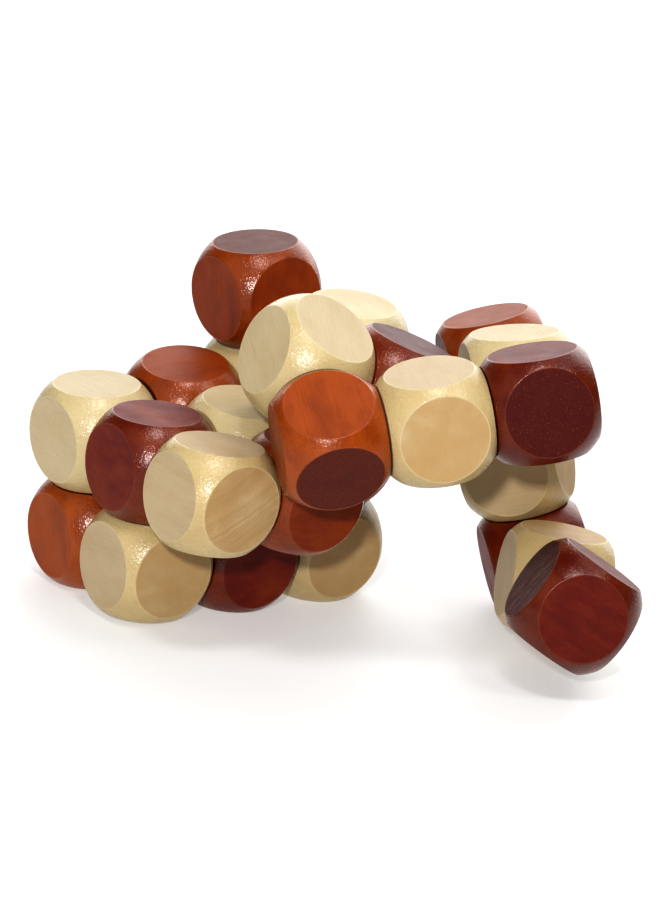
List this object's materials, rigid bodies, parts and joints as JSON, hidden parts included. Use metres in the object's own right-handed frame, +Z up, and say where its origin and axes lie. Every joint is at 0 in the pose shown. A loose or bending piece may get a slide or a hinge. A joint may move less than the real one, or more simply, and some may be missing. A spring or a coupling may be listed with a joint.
{
  "type": "wooden snake cube puzzle",
  "caption": "Wooden snake puzzle of rounded cubes strung on an elastic cord, alternating dark and light, lying half folded; every block turns on the next.",
  "frame": {"origin": "centre of the flat underside of block_16, the light block that lies flat on the table", "axes": "+Z up from the table; +X from block_16 towards block_14 along the row on the table; +Y from block_16 towards block_17"},
  "size_m": [0.1009, 0.1102, 0.0689],
  "materials": {
    "dark_wood": "dark red-brown stain under gloss lacquer",
    "light_wood": "clear satin varnish on pale wood",
    "bush_wood": "bare turned wood",
    "elastic": "covered elastic cord"
  },
  "bodies": {
    "link_01": {"block_01": "dark_wood", "cord_01": "elastic", "bush_01": "bush_wood", "knot_01": "elastic"},
    "link_02": {"block_02": "light_wood", "cord_02": "elastic"},
    "link_03": {"block_03": "dark_wood", "cord_03": "elastic"},
    "link_04": {"block_04": "light_wood", "cord_04": "elastic"},
    "link_05": {"block_05": "dark_wood", "cord_05": "elastic"},
    "link_06": {"block_06": "light_wood", "cord_06": "elastic"},
    "link_07": {"block_07": "dark_wood", "cord_07": "elastic"},
    "link_08": {"block_08": "light_wood", "cord_08": "elastic"},
    "link_09": {"block_09": "dark_wood", "cord_09": "elastic"},
    "link_10": {"block_10": "light_wood", "cord_10": "elastic"},
    "link_11": {"block_11": "dark_wood", "cord_11": "elastic"},
    "link_12": {"block_12": "light_wood", "cord_12": "elastic"},
    "link_13": {"block_13": "dark_wood", "cord_13": "elastic"},
    "link_14": {"block_14": "light_wood", "cord_14": "elastic"},
    "link_15": {"block_15": "dark_wood", "cord_15": "elastic"},
    "link_16": {"block_16": "light_wood", "cord_16": "elastic"},
    "link_17": {"block_17": "dark_wood", "cord_17": "elastic"},
    "link_18": {"block_18": "light_wood", "cord_18": "elastic"},
    "link_19": {"block_19": "dark_wood", "cord_19": "elastic"},
    "link_20": {"block_20": "light_wood", "cord_20": "elastic"},
    "link_21": {"block_21": "dark_wood", "cord_21": "elastic"},
    "link_22": {"block_22": "light_wood", "cord_22": "elastic"},
    "link_23": {"block_23": "dark_wood", "cord_23": "elastic"},
    "link_24": {"block_24": "light_wood", "cord_24": "elastic"},
    "link_25": {"block_25": "dark_wood", "cord_25": "elastic"},
    "link_26": {"block_26": "light_wood", "cord_26": "elastic"},
    "link_27": {"block_27": "dark_wood", "cord_27": "elastic", "bush_27": "bush_wood", "knot_27": "elastic"}
  },
  "joints": [
    {"name": "turn_01_02", "type": "hinge", "parent": "link_02", "child": "link_01", "pos_m": [0.06195, -0.05325, 0.01469], "axis": [-0.4576, -0.8835, 0.1006], "continuous": true},
    {"name": "turn_02_03", "type": "hinge", "parent": "link_03", "child": "link_02", "pos_m": [0.07124, -0.03532, 0.01264], "axis": [-0.4576, -0.8835, 0.1006], "continuous": true},
    {"name": "turn_03_04", "type": "hinge", "parent": "link_04", "child": "link_03", "pos_m": [0.07364, -0.02409, 0.02126], "axis": [-0.221, 0.2226, 0.9495], "range_deg": [-65, 175]},
    {"name": "turn_04_05", "type": "hinge", "parent": "link_05", "child": "link_04", "pos_m": [0.06916, -0.01957, 0.04054], "axis": [-0.221, 0.2226, 0.9495], "range_deg": [-65, 175]},
    {"name": "turn_05_06", "type": "hinge", "parent": "link_06", "child": "link_05", "pos_m": [0.06258, -0.02642, 0.0513], "axis": [0.4272, 0.8973, -0.1109], "range_deg": [-175, 25]},
    {"name": "turn_06_07", "type": "hinge", "parent": "link_07", "child": "link_06", "pos_m": [0.05391, -0.04463, 0.05355], "axis": [0.4272, 0.8973, -0.1109], "range_deg": [-12, 20]},
    {"name": "turn_07_08", "type": "hinge", "parent": "link_08", "child": "link_07", "pos_m": [0.04054, -0.04972, 0.05238], "axis": [0.89, -0.3958, 0.2264], "continuous": true},
    {"name": "turn_08_09", "type": "hinge", "parent": "link_09", "child": "link_08", "pos_m": [0.02247, -0.04169, 0.04778], "axis": [0.89, -0.3958, 0.2264], "continuous": true},
    {"name": "turn_09_10", "type": "hinge", "parent": "link_10", "child": "link_09", "pos_m": [0.01599, -0.02914, 0.05035], "axis": [-0.252, -0.8408, -0.479], "range_deg": [-9, 2]},
    {"name": "turn_10_11", "type": "hinge", "parent": "link_11", "child": "link_10", "pos_m": [0.02816, -0.02175, 0.05215], "axis": [-0.947, 0.1124, 0.3009], "range_deg": [-0.8, 66]},
    {"name": "turn_11_12", "type": "hinge", "parent": "link_12", "child": "link_11", "pos_m": [0.03919, -0.01286, 0.0498], "axis": [-0.1392, -0.9879, -0.0691], "range_deg": [-29, 0.4]},
    {"name": "turn_12_13", "type": "hinge", "parent": "link_13", "child": "link_12", "pos_m": [0.0406, -0.00212, 0.04038], "axis": [0, 0.0698, -0.9976], "range_deg": [-72, 0.4]},
    {"name": "turn_13_14", "type": "hinge", "parent": "link_14", "child": "link_13", "pos_m": [0.0406, -0.00071, 0.02013], "axis": [0, -0.0698, 0.9976], "range_deg": [-0.4, 6]},
    {"name": "turn_14_15", "type": "hinge", "parent": "link_15", "child": "link_14", "pos_m": [0.03045, 0, 0.01], "axis": [1, 0, 0], "range_deg": [-7, 1.3]},
    {"name": "turn_15_16", "type": "hinge", "parent": "link_16", "child": "link_15", "pos_m": [0.01015, 0, 0.01], "axis": [1, 0, 0], "range_deg": [-2.5, 1.3]},
    {"name": "turn_16_17", "type": "hinge", "parent": "link_16", "child": "link_17", "pos_m": [0, 0.01015, 0.01], "axis": [0, -1, 0], "range_deg": [-0.6, 0.4]},
    {"name": "turn_17_18", "type": "hinge", "parent": "link_17", "child": "link_18", "pos_m": [-0.00071, 0.0203, 0.02013], "axis": [-0.0698, 0, 0.9976], "range_deg": [-0.4, 0.8]},
    {"name": "turn_18_19", "type": "hinge", "parent": "link_18", "child": "link_19", "pos_m": [-0.00106, 0.01016, 0.03028], "axis": [-0.0348, 0.9994, -0.0024], "range_deg": [-0.6, 0.6]},
    {"name": "turn_19_20", "type": "hinge", "parent": "link_19", "child": "link_20", "pos_m": [-0.00036, -0.01013, 0.03032], "axis": [0.0348, -0.9994, 0.0024], "range_deg": [-0.6, 0.6]},
    {"name": "turn_20_21", "type": "hinge", "parent": "link_20", "child": "link_21", "pos_m": [0.01012, -0.01992, 0.02964], "axis": [-0.997, -0.0346, 0.0698], "range_deg": [-10, 1.3]},
    {"name": "turn_21_22", "type": "hinge", "parent": "link_21", "child": "link_22", "pos_m": [0.01996, -0.00948, 0.02997], "axis": [0.0273, -0.9944, -0.1019], "range_deg": [-1.8, 1]},
    {"name": "turn_22_23", "type": "hinge", "parent": "link_22", "child": "link_23", "pos_m": [0.0194, 0.01071, 0.03203], "axis": [-0.0273, 0.9944, 0.1019], "range_deg": [-1, 3.4]},
    {"name": "turn_23_24", "type": "hinge", "parent": "link_23", "child": "link_24", "pos_m": [0.02033, 0.02186, 0.02305], "axis": [0.1186, 0.1044, -0.9874], "range_deg": [-1, 1.8]},
    {"name": "turn_24_25", "type": "hinge", "parent": "link_24", "child": "link_25", "pos_m": [0.03161, 0.02307, 0.01425], "axis": [0.9926, 0.0149, 0.1208], "range_deg": [-175, 8]},
    {"name": "turn_25_26", "type": "hinge", "parent": "link_25", "child": "link_26", "pos_m": [0.04045, 0.02358, 0.02554], "axis": [-0.1213, 0.035, 0.992], "range_deg": [-1, 1.8]},
    {"name": "turn_26_27", "type": "hinge", "parent": "link_26", "child": "link_27", "pos_m": [0.03799, 0.02429, 0.04568], "axis": [-0.1213, 0.035, 0.992], "continuous": true}
  ]
}
